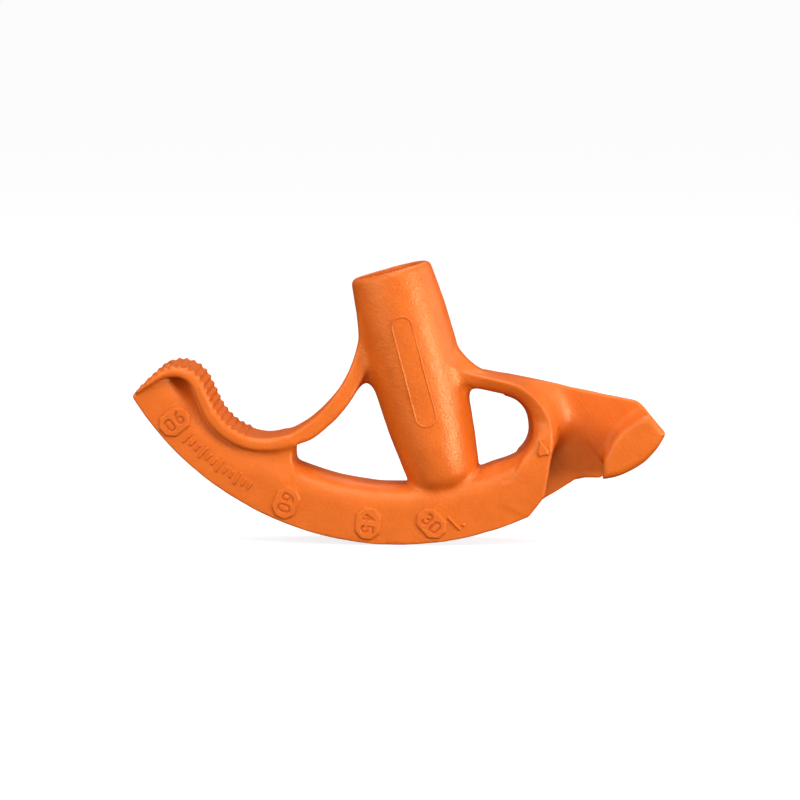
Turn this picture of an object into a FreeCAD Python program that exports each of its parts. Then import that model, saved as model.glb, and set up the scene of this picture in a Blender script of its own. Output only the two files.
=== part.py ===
"""Head of a hand bender for 3/4 inch thin-wall steel conduit: one aluminium casting, modelled region by region.

The outlines are drawn in the XZ plane about the centre of the bend, with Z up and X towards the hook, and the
casting's thickness runs along Y, with the marked side at -Y.  Angles round the shoe are measured from straight
down, positive towards the hook.  Every finished region is then lifted so that the casting stands on its lips.
"""
import FreeCAD, Part
import math
import os

import Sketcher

DIMENSIONS = {
    # conduit and groove
    "bend_radius": 130.0,          # centre line of the bent conduit
    "groove_radius": 12.0,         # a loose fit on the conduit's 11.71
    "lip_radius": 138.6,           # outer edge of the groove's two walls
    "rim_radius": 112.8,           # inner edge of the shoe
    "shoe_width": 32.0,
    "inner_width": 24.0,           # between the two groove walls
    "far_cheek_thickness": 4.0,
    "heel_angle": -58.6,
    "zero_angle": 38.5,            # where the straight conduit leaves the groove
    # foot pedal and rear brace
    "hump_radius": 13.5,
    "hump_x": -98.3,
    "hump_z": -73.2,
    "sweep_radius": 25.6,
    "tread_thickness": 3.5,
    "tread_width": 38.0,
    "tread_run": 58.0,              # length of the tread that carries ridges
    "ridge_radius": 0.85,
    "ridge_pitch": 3.3,
    "brace_arc_radius": 57.3,
    "brace_arc_x": -74.4,
    "brace_arc_z": -39.0,
    "brace_start_angle": -60.0,    # direction, seen from the brace's own centre, in which the sweep runs into it
    "rear_brace_thickness": 7.4,
    "brace_width": 24.0,
    "window_corner_radius": 3.5,
    # handle socket
    "socket_tilt": 14.8,
    "socket_mouth_x": -3.6,
    "socket_mouth_z": -17.8,
    "socket_length": 100.0,
    "socket_mouth_radius": 17.7,
    "socket_belly_radius": 20.4,
    "socket_belly_depth": 40.0,
    "socket_root_radius": 15.2,
    "thread_radius": 12.2,         # crests of a 3/4 inch pipe thread
    "thread_depth": 38.0,
    "mouth_chamfer": 1.8,
    "brace_reach": 24.0,           # how far past the mouth's middle the front brace starts, inside the socket
    # front brace, post and hook
    "ridge_x": 67.8,
    "ridge_z": -69.5,
    "ridge_slope": -11.35,
    "ridge_end_x": 105.0,
    "window_radius": 15.8,
    "window_x": 45.3,
    "window_z": -87.2,
    "post_radius": 26.6,
    "post_x": 42.5,
    "post_z": -92.0,
    "post_end_slope": 80.0,
    "chamfer_angle": 24.5,
    "chamfer_rise": 6.6,
    "seat_radius": 142.0,          # inner face of the hook, below the conduit
    "hook_wall": 5.7,              # metal below the conduit at the hook's thickest
    "finger_thickness": 4.0,
    "hook_length": 38.5,           # from the zero mark to the hook's open end
    "hook_arc_radius": 35.0,
    "hook_arc_along": 22.0,
    "finger_arc_radius": 28.7,
    "finger_arc_along": 27.0,
    "finger_tip_radius": 5.0,
    "cheek_front": 36.6,
    "cheek_corner_out": 131.2,
    "cheek_leave_angle": 34.5,     # where the cheek's lower edge leaves the lip's circle for the hook
    # raised marks
    "mark_height": 0.8,
    "pad_length": 15.0,
    "pad_width": 11.5,
    "pad_corner": 3.5,
    "pad_middle": 129.8,
    "arrow_x": 64.6,
    "arrow_z": -95.6,
    "arrow_turn": 12.0,
    "bar_x": 25.3,
    "bar_z": -128.7,
    "bar_turn": 44.0,
    # where the bend's centre stands in the part's own frame
    "centre_x": -0.95,
}

doc = FreeCAD.newDocument("conduit_bender")
sheet = doc.addObject("Spreadsheet::Sheet", "Dimensions")
for row, (alias, value) in enumerate(DIMENSIONS.items(), start=1):
    sheet.set(f"A{row}", alias.replace("_", " "))
    sheet.set(f"B{row}", str(value))
    sheet.setAlias(f"B{row}", alias)
doc.recompute()


def size(alias):
    """A driving dimension, read back from the sheet."""
    return float(sheet.get(alias))


# ---------------------------------------------------------------- plane geometry
def polar(radius, angle):
    """A point at this radius from the bend's centre, by its angle from straight down."""
    return (radius * math.sin(math.radians(angle)), -radius * math.cos(math.radians(angle)))


def offset(point, direction, distance):
    """The point this far away, in a direction given in degrees above +X."""
    angle = math.radians(direction)
    return (point[0] + distance * math.cos(angle), point[1] + distance * math.sin(angle))


def direction_to(start, end):
    return math.degrees(math.atan2(end[1] - start[1], end[0] - start[0]))


def circles_meet(centre_a, radius_a, centre_b, radius_b, side):
    """Where two circles cross, on the left (+1) or right (-1) of the line from a to b."""
    gap = math.dist(centre_a, centre_b)
    along = (radius_a ** 2 - radius_b ** 2 + gap ** 2) / (2 * gap)
    across = math.sqrt(radius_a ** 2 - along ** 2)
    middle = offset(centre_a, direction_to(centre_a, centre_b), along)
    return offset(middle, direction_to(centre_a, centre_b) + 90 * side, across)


def line_meets_circle(start, direction, centre, radius, last=True):
    """The last or first point that a circle has in common with a line, going in a direction in degrees."""
    angle = math.radians(direction)
    dx, dz = start[0] - centre[0], start[1] - centre[1]
    half = dx * math.cos(angle) + dz * math.sin(angle)
    root = math.sqrt(half ** 2 - (dx ** 2 + dz ** 2 - radius ** 2))
    return offset(start, direction, -half + root if last else -half - root)


# ---------------------------------------------------------------- FreeCAD building blocks
def bind(item, name, alias):
    item.setExpression(name, f"Dimensions.{alias}")


def draw_outline(sketch, steps):
    """Draw a closed outline.  A step is (end point) for a line, or (end point, centre, turn, radius) for an arc,
    where turn is 1 for anticlockwise and radius is an expression.  The last step's end is the first's start."""
    start = steps[-1][0]
    for step in steps:
        end = step[0]
        if len(step) == 1:
            sketch.addGeometry(Part.LineSegment(FreeCAD.Vector(*start, 0), FreeCAD.Vector(*end, 0)))
        else:
            centre, turn = step[1], step[2]
            first, last = (start, end) if turn > 0 else (end, start)
            circle = Part.Circle(FreeCAD.Vector(*centre, 0), FreeCAD.Vector(0, 0, 1), math.dist(centre, start))
            angles = [math.radians(direction_to(centre, point)) for point in (first, last)]
            sketch.addGeometry(Part.ArcOfCircle(circle, *angles))
        start = end
    count = len(steps)
    ends = [(1, 2) if len(step) == 1 or step[2] > 0 else (2, 1) for step in steps]
    for index in range(count):
        following = (index + 1) % count
        sketch.addConstraint(Sketcher.Constraint("Coincident", index, ends[index][1], following,
                                                 ends[following][0]))
        for axis, value in zip("XY", steps[index][0]):
            pin = (index, ends[index][1])
            order = (-1, 1, *pin) if value >= 0 else (*pin, -1, 1)
            sketch.addConstraint(Sketcher.Constraint("Distance" + axis, *order, abs(value)))
    for index, step in enumerate(steps):
        if len(step) > 1:
            centre = step[1]
            constraint = sketch.addConstraint(Sketcher.Constraint("Radius", index, math.dist(centre, step[0])))
            sketch.setExpression(f"Constraints[{constraint}]", step[3])


def new_sketch(body, role, name, out=0.0):
    """A sketch on one of the body's own planes, moved this far along the plane's normal."""
    sketch = body.newObject("Sketcher::SketchObject", name)
    plane = next(item for item in body.Origin.OriginFeatures if item.Role == role)
    sketch.AttachmentSupport = [(plane, "")]
    sketch.MapMode = "FlatFace"
    sketch.AttachmentOffset = FreeCAD.Placement(FreeCAD.Vector(0, 0, out), FreeCAD.Rotation())
    return sketch


def plate(name, steps, thickness, near=None):
    """A body padded from an XZ outline: centred on Y, or from this far out on the marked side towards +Y."""
    body = doc.addObject("PartDesign::Body", name)
    sketch = new_sketch(body, "XZ_Plane", name + "_outline")
    draw_outline(sketch, steps)
    pad = body.newObject("PartDesign::Pad", name + "_pad")
    pad.Profile = sketch
    pad.setExpression("Length", thickness)
    if near is None:
        pad.Midplane = True
    else:
        pad.Reversed = True
        sketch.setExpression("AttachmentOffset.Base.z", near)
    doc.recompute()
    return body


def cut_groove(body):
    """Sweep the conduit's groove round the bend's centre and take it out of the body."""
    sketch = new_sketch(body, "XY_Plane", body.Name + "_groove_section")
    circle = Part.Circle(FreeCAD.Vector(size("bend_radius"), 0, 0), FreeCAD.Vector(0, 0, 1), size("groove_radius"))
    sketch.addGeometry(circle)
    sketch.addConstraint(Sketcher.Constraint("PointOnObject", 0, 3, -1))
    middle = sketch.addConstraint(Sketcher.Constraint("DistanceX", -1, 1, 0, 3, size("bend_radius")))
    radius = sketch.addConstraint(Sketcher.Constraint("Radius", 0, size("groove_radius")))
    bind(sketch, f"Constraints[{middle}]", "bend_radius")
    bind(sketch, f"Constraints[{radius}]", "groove_radius")
    before = body.Shape.Volume
    groove = body.newObject("PartDesign::Groove", body.Name + "_groove")
    groove.Profile = sketch
    groove.ReferenceAxis = (sketch, ["V_Axis"])
    groove.Angle = 360
    doc.recompute()
    if not body.Shape.Volume < before:
        raise RuntimeError(body.Name + ": the groove cut nothing")


def subtract(name, base, tool):
    cut = doc.addObject("Part::Cut", name)
    cut.Base = base
    cut.Tool = tool
    doc.recompute()
    return cut


# ---------------------------------------------------------------- points that several regions share
CENTRE = (0.0, 0.0)
RIM = size("rim_radius")
BEND = size("bend_radius")
LIP = size("lip_radius")
TREAD = size("tread_thickness")

hump = (size("hump_x"), size("hump_z"))
hump_radius = size("hump_radius")
sweep_radius = size("sweep_radius")
brace_arc = (size("brace_arc_x"), size("brace_arc_z"))
brace_radius = size("brace_arc_radius")
brace_outer = brace_radius + size("rear_brace_thickness")
sweep = offset(brace_arc, size("brace_start_angle"), brace_radius - sweep_radius)
sweep_end = offset(brace_arc, size("brace_start_angle"), brace_radius)
split_angle = math.degrees(math.atan2(sweep_end[0], -sweep_end[1]))

heel_tip = polar(LIP, size("heel_angle"))
heel_slope = direction_to(heel_tip, hump) + math.degrees(math.asin(hump_radius / math.dist(heel_tip, hump)))
hump_start = offset(hump, heel_slope + 90, hump_radius)
hump_inner_start = offset(hump, heel_slope + 90, hump_radius - TREAD)

# the straight stretch that runs from the hump down into the sweep, and the direction square to it
hump_to_sweep = math.dist(hump, sweep)
stretch = math.sqrt(hump_to_sweep ** 2 - (hump_radius + sweep_radius) ** 2)
square = direction_to(hump, sweep) + math.degrees(math.atan2(stretch, hump_radius + sweep_radius))
hump_end = offset(hump, square, hump_radius)
hump_inner_end = offset(hump, square, hump_radius - TREAD)
sweep_start = offset(sweep, square + 180, sweep_radius)
sweep_inner_start = offset(sweep, square + 180, sweep_radius + TREAD)
sweep_inner_end = line_meets_circle(CENTRE, direction_to(CENTRE, sweep_end), sweep, sweep_radius + TREAD)

# rear window: the brace's lower face runs into the rim through a rounded corner
corner = size("window_corner_radius")
tip_centre = circles_meet(brace_arc, brace_outer + corner, CENTRE, RIM - corner, -1)
tip_on_brace = offset(brace_arc, direction_to(brace_arc, tip_centre), brace_outer)
tip_on_rim = offset(CENTRE, direction_to(CENTRE, tip_centre), RIM)

# front window and the post round it
ridge_slope = size("ridge_slope")
ridge = (size("ridge_x"), size("ridge_z"))
window = (size("window_x"), size("window_z"))
window_radius = size("window_radius")
post = (size("post_x"), size("post_z"))
post_radius = size("post_radius")
window_top = offset(window, ridge_slope + 90, window_radius)
window_on_rim = circles_meet(CENTRE, RIM, window, window_radius, 1)
post_top = offset(post, ridge_slope + 90, post_radius)
post_at_rim = circles_meet(CENTRE, RIM, post, post_radius, 1)
post_side = offset(post, size("post_end_slope") - 90, post_radius)
post_down = size("post_end_slope") + 180
post_at_bend = line_meets_circle(post_side, post_down, CENTRE, BEND)
post_at_lip = line_meets_circle(post_side, post_down, CENTRE, LIP)


def ridge_point(x):
    """A point of the straight ridge that runs from the socket to the hook."""
    return (x, ridge[1] + (x - ridge[0]) * math.tan(math.radians(ridge_slope)))


def on_tangent(along, out):
    """A point in the conduit's own directions at the zero mark: along it, and out from the bend's centre."""
    angle = size("zero_angle")
    return offset(polar(out, angle), angle, along)


# the hook, in the straight conduit's own directions at the zero mark
SEAT = size("seat_radius")
hook_front = size("hook_length")
hook_radius = size("hook_arc_radius")
hook_middle = size("hook_arc_along")
hook_depth = BEND + size("groove_radius") + size("hook_wall") - hook_radius
hook_centre = on_tangent(hook_middle, hook_depth)
heel_along = hook_middle - math.sqrt(hook_radius ** 2 - (SEAT - hook_depth) ** 2)
hook_heel = on_tangent(heel_along, SEAT)
hook_nose = on_tangent(hook_front, hook_depth + math.sqrt(hook_radius ** 2 - (hook_front - hook_middle) ** 2))
hook_mouth = on_tangent(hook_front, SEAT)

# the finger's edge over the conduit: one long arc from the heel, and a tighter one round its tip
finger_radius = size("finger_arc_radius")
finger_along = size("finger_arc_along")
finger_depth = SEAT + math.sqrt(finger_radius ** 2 - (finger_along - heel_along) ** 2)
finger_centre = on_tangent(finger_along, finger_depth)
tip_radius = size("finger_tip_radius")
tip_along = hook_front - tip_radius
tip_out = finger_depth - math.sqrt((finger_radius - tip_radius) ** 2 - (tip_along - finger_along) ** 2)
finger_tip = on_tangent(tip_along, tip_out)
finger_front = on_tangent(hook_front, tip_out)
finger_back = offset(finger_tip, direction_to(finger_centre, finger_tip), tip_radius)
ridge_end = ridge_point(size("ridge_end_x"))
cheek_corner = on_tangent(size("cheek_front"), size("cheek_corner_out"))
cheek_front = on_tangent(size("cheek_front"), LIP)
lip_end = polar(LIP, size("cheek_leave_angle"))

# ---------------------------------------------------------------- handle socket
socket_form = doc.addObject("PartDesign::Body", "socket_form")
profile = new_sketch(socket_form, "XZ_Plane", "socket_profile")
mouth_radius, root_radius = size("socket_mouth_radius"), size("socket_root_radius")
mouth = (mouth_radius - size("mouth_chamfer"), 0.0)
belly = (size("socket_belly_radius"), -size("socket_belly_depth"))
root = (root_radius, -size("socket_length"))
barrel = Part.Arc(FreeCAD.Vector(mouth_radius, -size("mouth_chamfer"), 0), FreeCAD.Vector(*belly, 0),
                  FreeCAD.Vector(*root, 0)).toShape().Curve
barrel_centre = (barrel.Center.x, barrel.Center.y)
draw_outline(profile, [
    (mouth,),
    ((mouth_radius, -size("mouth_chamfer")),),
    (root, barrel_centre, -1, str(barrel.Radius)),
    ((0.0, root[1]),),
    ((0.0, 0.0),),
])
turning = socket_form.newObject("PartDesign::Revolution", "socket_barrel")
turning.Profile = profile
turning.ReferenceAxis = (profile, ["V_Axis"])
turning.Angle = 360
socket_form.setExpression("Placement.Base.x", "Dimensions.socket_mouth_x")
socket_form.setExpression("Placement.Base.z", "Dimensions.socket_mouth_z")
socket_form.Placement.Rotation = FreeCAD.Rotation(FreeCAD.Vector(0, 1, 0), -size("socket_tilt"))
doc.recompute()


def along_socket(name, kind, radii, length):
    """A cylinder or cone on the socket's axis, from the mouth down."""
    form = doc.addObject("Part::" + kind, name)
    for radius_name, expression in radii.items():
        form.setExpression(radius_name, expression)
    form.setExpression("Height", length)
    doc.recompute()
    down = FreeCAD.Placement(FreeCAD.Vector(0, 0, -form.Height.Value), FreeCAD.Rotation())
    form.Placement = socket_form.Placement.multiply(down)
    return form


bore = along_socket("socket_bore", "Cylinder", {"Radius": "Dimensions.thread_radius"}, "Dimensions.thread_depth")
countersink = along_socket("socket_countersink", "Cone", {
    "Radius1": "Dimensions.thread_radius",
    "Radius2": "Dimensions.thread_radius + Dimensions.mouth_chamfer",
}, "Dimensions.mouth_chamfer")
hollow = doc.addObject("Part::Fuse", "socket_hollow")
hollow.Base = bore
hollow.Tool = countersink
hollow_form = subtract("socket_hollowed", socket_form, hollow)
inside_rim = doc.addObject("Part::Cylinder", "inside_rim")
bind(inside_rim, "Radius", "rim_radius")
inside_rim.setExpression("Height", "2 * Dimensions.tread_width")
across = FreeCAD.Rotation(FreeCAD.Vector(1, 0, 0), 90)
inside_rim.Placement = FreeCAD.Placement(FreeCAD.Vector(0, size("tread_width"), 0), across)
handle_socket = doc.addObject("Part::Common", "handle_socket")
handle_socket.Base = hollow_form
handle_socket.Tool = inside_rim
doc.recompute()

# ---------------------------------------------------------------- shoe
heel_at_bend = line_meets_circle(heel_tip, heel_slope, CENTRE, BEND, last=False)
rim_split = polar(RIM, split_angle)
bend_split = polar(BEND, split_angle)
rim, bend, lip = "Dimensions.rim_radius", "Dimensions.bend_radius", "Dimensions.lip_radius"

bending_shoe = plate("bending_shoe", [
    (post_at_rim, CENTRE, 1, rim),
    (post_side, post, -1, "Dimensions.post_radius"),
    (post_at_bend,),
    (bend_split, CENTRE, -1, bend),
    (rim_split,),
], "Dimensions.shoe_width")
cut_groove(bending_shoe)

heel_block = plate("heel_block", [
    (hump_start,),
    (hump_inner_start,),
    (hump_inner_end, hump, -1, "Dimensions.hump_radius - Dimensions.tread_thickness"),
    (sweep_inner_start,),
    (sweep_inner_end, sweep, 1, "Dimensions.sweep_radius + Dimensions.tread_thickness"),
    (bend_split,),
    (heel_at_bend, CENTRE, -1, bend),
], "Dimensions.shoe_width")
cut_groove(heel_block)

wall = "(Dimensions.shoe_width - Dimensions.inner_width) / 2"
near_lip = plate("near_lip", [
    (polar(LIP, size("chamfer_angle")), CENTRE, 1, lip),
    (offset(post_at_lip, post_down - 180, size("chamfer_rise")),),
    (post_at_bend,),
    (heel_at_bend, CENTRE, -1, bend),
    (heel_tip,),
], wall, "Dimensions.shoe_width / 2")
far_lip = plate("far_lip", [
    (post_at_lip, CENTRE, 1, lip),
    (post_at_bend,),
    (heel_at_bend, CENTRE, -1, bend),
    (heel_tip,),
], wall, "-Dimensions.inner_width / 2")

# ---------------------------------------------------------------- foot pedal
foot_pedal = plate("foot_pedal", [
    (hump_end, hump, -1, "Dimensions.hump_radius"),
    (sweep_start,),
    (sweep_end, sweep, 1, "Dimensions.sweep_radius"),
    (sweep_inner_end,),
    (sweep_inner_start, sweep, -1, "Dimensions.sweep_radius + Dimensions.tread_thickness"),
    (hump_inner_end,),
    (hump_inner_start, hump, 1, "Dimensions.hump_radius - Dimensions.tread_thickness"),
    (hump_start,),
], "Dimensions.tread_width")

hump_run = math.radians(heel_slope + 90 - square) * hump_radius
half_ridge = size("tread_width") / 2 - size("ridge_radius")


def tread_point(distance):
    """The point of the tread's surface this far along it from the heel."""
    if distance < hump_run:
        return offset(hump, heel_slope + 90 - math.degrees(distance / hump_radius), hump_radius)
    distance -= hump_run
    if distance < stretch:
        return offset(hump_end, square - 90, distance)
    return offset(sweep, square + 180 + math.degrees((distance - stretch) / sweep_radius), sweep_radius)


rods = []
for index in range(int(size("tread_run") / size("ridge_pitch"))):
    x, z = tread_point((index + 0.5) * size("ridge_pitch"))
    rod = doc.addObject("Part::Cylinder", f"ridge_rod_{index + 1}")
    bind(rod, "Radius", "ridge_radius")
    rod.setExpression("Height", "Dimensions.tread_width - 2 * Dimensions.ridge_radius")
    rod.Placement = FreeCAD.Placement(FreeCAD.Vector(x, half_ridge, z), across)
    rods.append(rod)
ridge_rods = doc.addObject("Part::Compound", "ridge_rods")
ridge_rods.Links = rods
tread_ridges = subtract("tread_ridges", ridge_rods, foot_pedal)
standing = [ridge_rods]            # what is cut by a region that stands in its place has to stand there too

# ---------------------------------------------------------------- braces, post and cheek
inside_socket = size("socket_mouth_x") + size("brace_reach")
rear_brace_plate = plate("rear_brace_plate", [
    (offset(brace_arc, 0, brace_radius), brace_arc, 1, "Dimensions.brace_arc_radius"),
    (offset(brace_arc, 0, brace_outer),),
    (tip_on_brace, brace_arc, -1, "Dimensions.brace_arc_radius + Dimensions.rear_brace_thickness"),
    (tip_on_rim, tip_centre, 1, "Dimensions.window_corner_radius"),
    (rim_split, CENTRE, -1, rim),
    (sweep_end,),
], "Dimensions.brace_width")
rear_brace = subtract("rear_brace", rear_brace_plate, socket_form)

front_brace_plate = plate("front_brace_plate", [
    (post_top,),
    (window_top,),
    (offset(window_top, ridge_slope + 180, window_top[0] - inside_socket),),
    (ridge_point(inside_socket),),
], "Dimensions.brace_width")
front_brace = subtract("front_brace", front_brace_plate, socket_form)

front_post = plate("front_post", [
    (post_at_rim, post, -1, "Dimensions.post_radius"),
    (window_on_rim, CENTRE, -1, rim),
    (window_top, window, 1, "Dimensions.window_radius"),
    (post_top,),
], "(Dimensions.shoe_width + Dimensions.inner_width) / 2", "Dimensions.shoe_width / 2")

far_cheek = plate("far_cheek", [
    (ridge_end,),
    (cheek_corner,),
    (cheek_front,),
    (hook_nose,),
    (hook_heel, hook_centre, -1, "Dimensions.hook_arc_radius"),
    (lip_end,),
    (post_at_lip, CENTRE, -1, lip),
    (post_side,),
    (post_at_rim, post, 1, "Dimensions.post_radius"),
    (window_on_rim, CENTRE, -1, rim),
    (window_top, window, 1, "Dimensions.window_radius"),
    (post_top,),
], "Dimensions.far_cheek_thickness", "-Dimensions.inner_width / 2")

# ---------------------------------------------------------------- hook
hook_seat = plate("hook_seat", [
    (hook_mouth,),
    (hook_nose,),
    (hook_heel, hook_centre, -1, "Dimensions.hook_arc_radius"),
], "(Dimensions.shoe_width + Dimensions.inner_width) / 2", "Dimensions.shoe_width / 2")
hook_finger = plate("hook_finger", [
    (hook_mouth,),
    (finger_front,),
    (finger_back, finger_tip, 1, "Dimensions.finger_tip_radius"),
    (hook_heel, finger_centre, 1, "Dimensions.finger_arc_radius"),
], "Dimensions.finger_thickness", "Dimensions.shoe_width / 2")

# ---------------------------------------------------------------- raised marks on the near side
near_face = "Dimensions.shoe_width / 2 + Dimensions.mark_height"


def framed(middle, turn, points):
    """Outline points given across and along a mark, set down at its middle and turned."""
    return [(offset(offset(middle, turn, across), turn + 90, along),) for across, along in points]


def pad_outline():
    """An octagon, longer along the radius than across it."""
    half_width, half_length, cut = size("pad_width") / 2, size("pad_length") / 2, size("pad_corner")
    quarter = [(half_width, half_length - cut), (half_width - cut, half_length)]
    upper = quarter + [(-across, along) for across, along in reversed(quarter)]
    return upper + [(-across, -along) for across, along in upper]


# bend angle, place round the shoe, and turn of the pad away from the radius
PADS = [(30, 6.8, 35.0), (45, -5.7, 0.0), (60, -22.3, 0.0), (90, -49.6, 0.0)]
for degrees, place, turn in PADS:
    outline = framed(polar(size("pad_middle"), place), place + turn, pad_outline())
    plate(f"degree_pad_{degrees}", outline, "Dimensions.mark_height", near_face)

ARROW = [(-2.6, -3.0), (2.6, -3.0), (2.6, -0.4), (0.0, 4.6), (-2.6, -0.4)]
arrow_outline = framed((size("arrow_x"), size("arrow_z")), size("arrow_turn"), ARROW)
plate("start_arrow", arrow_outline, "Dimensions.mark_height", near_face)

BAR = [(-0.9, -4.2), (0.9, -4.2), (0.9, 4.2), (-0.9, 4.2)]
bar_outline = framed((size("bar_x"), size("bar_z")), size("bar_turn"), BAR)
plate("centre_bar", bar_outline, "Dimensions.mark_height", near_face)

# ---------------------------------------------------------------- stand the casting on its lips and write it out
REGIONS = ["handle_socket", "bending_shoe", "heel_block", "near_lip", "far_lip", "foot_pedal", "tread_ridges",
           "rear_brace", "front_brace", "front_post", "far_cheek", "hook_seat", "hook_finger",
           "degree_pad_30", "degree_pad_45", "degree_pad_60", "degree_pad_90", "start_arrow", "centre_bar"]
for name in REGIONS:
    region = doc.getObject(name)
    region.Label = name
    if region is not tread_ridges:
        standing.append(region)
for item in standing:
    item.setExpression("Placement.Base.x", "Dimensions.centre_x")
    item.setExpression("Placement.Base.z", "Dimensions.lip_radius")
doc.recompute()

for item in doc.Objects:
    if "Invalid" in item.State or "Error" in item.State:
        raise RuntimeError(f"{item.Name}: {item.getStatusString()}")
for name in REGIONS:
    shape = doc.getObject(name).Shape
    if shape.isNull() or not shape.isValid():
        raise RuntimeError(name + ": no valid shape")

os.makedirs("parts", exist_ok=True)
for name in REGIONS:
    doc.getObject(name).Shape.exportStep(f"parts/{name}.step")
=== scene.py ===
"""The conduit bender head as it looks: one painted casting, its pipe thread, and the raised marks on it.

The casting is a signed distance field, in millimetres, turned into a mesh.  Its dimensions are the CAD
model's, some of them adjusted to the bulges and fillets of the cast shape.  The field's own coordinates
have the bend's centre at the origin, X towards the hook, Z up and the marked side at -Y.  Angles round the
shoe are measured from straight down, positive towards the hook.  Other directions are in degrees above +X.
A size called an edge or a blend is the rounding between two surfaces.  A pair called a reach is where a
change along some distance starts and ends.
"""
import math

import bpy
import numpy as np
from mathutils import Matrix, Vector


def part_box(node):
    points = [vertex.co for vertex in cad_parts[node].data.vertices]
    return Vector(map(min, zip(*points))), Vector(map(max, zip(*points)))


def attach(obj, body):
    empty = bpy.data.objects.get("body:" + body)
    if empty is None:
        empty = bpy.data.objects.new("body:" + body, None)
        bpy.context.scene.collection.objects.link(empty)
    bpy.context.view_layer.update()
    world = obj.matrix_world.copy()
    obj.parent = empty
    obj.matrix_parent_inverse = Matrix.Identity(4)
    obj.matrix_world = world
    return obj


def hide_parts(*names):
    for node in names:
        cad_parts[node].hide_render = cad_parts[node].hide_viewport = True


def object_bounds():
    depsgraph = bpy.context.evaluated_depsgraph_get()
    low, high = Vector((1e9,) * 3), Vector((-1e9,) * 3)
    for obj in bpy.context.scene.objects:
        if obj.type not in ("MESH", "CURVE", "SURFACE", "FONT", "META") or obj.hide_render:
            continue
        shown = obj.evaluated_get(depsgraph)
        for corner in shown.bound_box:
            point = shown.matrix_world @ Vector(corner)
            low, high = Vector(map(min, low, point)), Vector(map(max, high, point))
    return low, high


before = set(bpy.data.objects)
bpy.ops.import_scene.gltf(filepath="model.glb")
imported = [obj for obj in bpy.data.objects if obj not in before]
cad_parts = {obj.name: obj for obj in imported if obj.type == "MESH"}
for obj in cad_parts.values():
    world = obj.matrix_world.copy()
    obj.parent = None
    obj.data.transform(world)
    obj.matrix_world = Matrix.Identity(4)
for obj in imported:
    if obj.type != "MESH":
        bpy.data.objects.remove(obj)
cad_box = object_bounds()

MM = 0.001
GRID = 0.5              # spacing of the casting's sample points
TRIANGLES = 180_000                            # what the casting's mesh is thinned out to
CASTING_LOW = (-124.0, -23.0, -141.0)          # the box that is sampled
CASTING_HIGH = (124.0, 23.0, -10.0)
CENTRE_X = -0.95                               # the bend's centre, along X from the part's own origin

# ---------------------------------------------------------------- shoe: radii are from the bend's centre
BEND = 130.0                                   # centre line of the bent conduit
GROOVE, GROOVE_EDGE = 12.0, 1.2                # radius of the groove for the conduit
GROOVE_END = 6.0                               # how far past the zero mark it is cut in the shoe
LIP, LIP_EDGE = 138.6, 0.6                     # outer edge
RIM = 112.6                                    # inner edge
HALF = 16.0                                    # half width
SHOULDER_EDGE, SHOE_END_EDGE = 11.0, 1.5
HEEL_ANGLE = -58.4                             # the heel's tip
ZERO_ANGLE = 38.5                              # the zero mark, where the straight conduit leaves the bend
SET_BACK, SET_BACK_REACH = 5.0, (21.0, 38.0)   # the inner edge moves out below the pedal
CHAMFER_ANGLE = 24.8                           # where the lip ends in front and a corner is cut off
CHAMFER_RISE = 6.6                             # how far up the post's straight side the cut goes

# ---------------------------------------------------------------- pedal and rear brace
HUMP, HUMP_RADIUS = (-98.3, -73.2), 13.5       # the tread's crest
SWEEP_RADIUS = 25.6                            # the hollow between tread and brace
BRACE_ARC, BRACE_RADIUS = (-74.8, -38.0), 58.0
BRACE_START, BRACE_END = -60.0, 0.0            # directions from the arc's centre
TREAD_HALF, BRACE_HALF = 19.0, 12.0            # half widths
TREAD_END, BRACE_BEGIN = 10.0, 28.0            # past straight and sweep: where one changes into the other
NECK_SLIM, NECK_REACH = 4.5, (18.0, 50.0)      # past the sweep the brace slims towards the socket
HEEL_THICKNESS, HUMP_THICKNESS = 1.0, 4.4
TREAD_THICKNESS, BRACE_THICKNESS = 5.4, 7.4
HUMP_LEAD, SWEEP_LEAD = 11.0, 6.0              # runs over which the thickness changes
BAND_EDGE = 2.2
BAND_INSET, BAND_LIP_EDGE = 2.5, 1.2           # how far the pedal's end stays inside the shoe's outer edge
BAND_BLEND, BRACE_BLEND = 1.2, 5.0             # below the tread, and how much more below the brace
CLEATS, CLEAT_RADIUS, CLEAT_PITCH = 20, 0.825, 3.3
CLEATS_BEHIND = 2.5                            # pitches that the row starts before the crest
CLEAT_INSET, CLEAT_BLEND = 2.0, 0.8            # how far the cleats' straight part stays inside the tread

# the recessed web between tread and shoe
WEB_HALF, WEB_MORE = 9.0, 4.8                  # half width at the heel, and how much it grows along the pedal
WEB_GROWTH = (12.0, 14.0)                      # it grows from this past the slope to this past the straight
WEB_MOST, WEB_BULGE_REACH = 14.0, (4.0, 19.0)  # it swells to this half width, going down from the tread
WEB_BACK_REACH = (52.0, 70.0)                  # but only this far behind the bend's centre
WEB_INSET = 1.0                                # how far its top lies inside the tread
WEB_IN, WEB_OUT = 7.0, 12.0                    # how far it goes each way from the shoe's inner edge
WEB_FRONT = 46.5                               # how far behind the bend's centre it ends
WEB_EDGE, WEB_FRONT_EDGE, WEB_BLEND = 1.0, 2.0, 3.0

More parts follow.
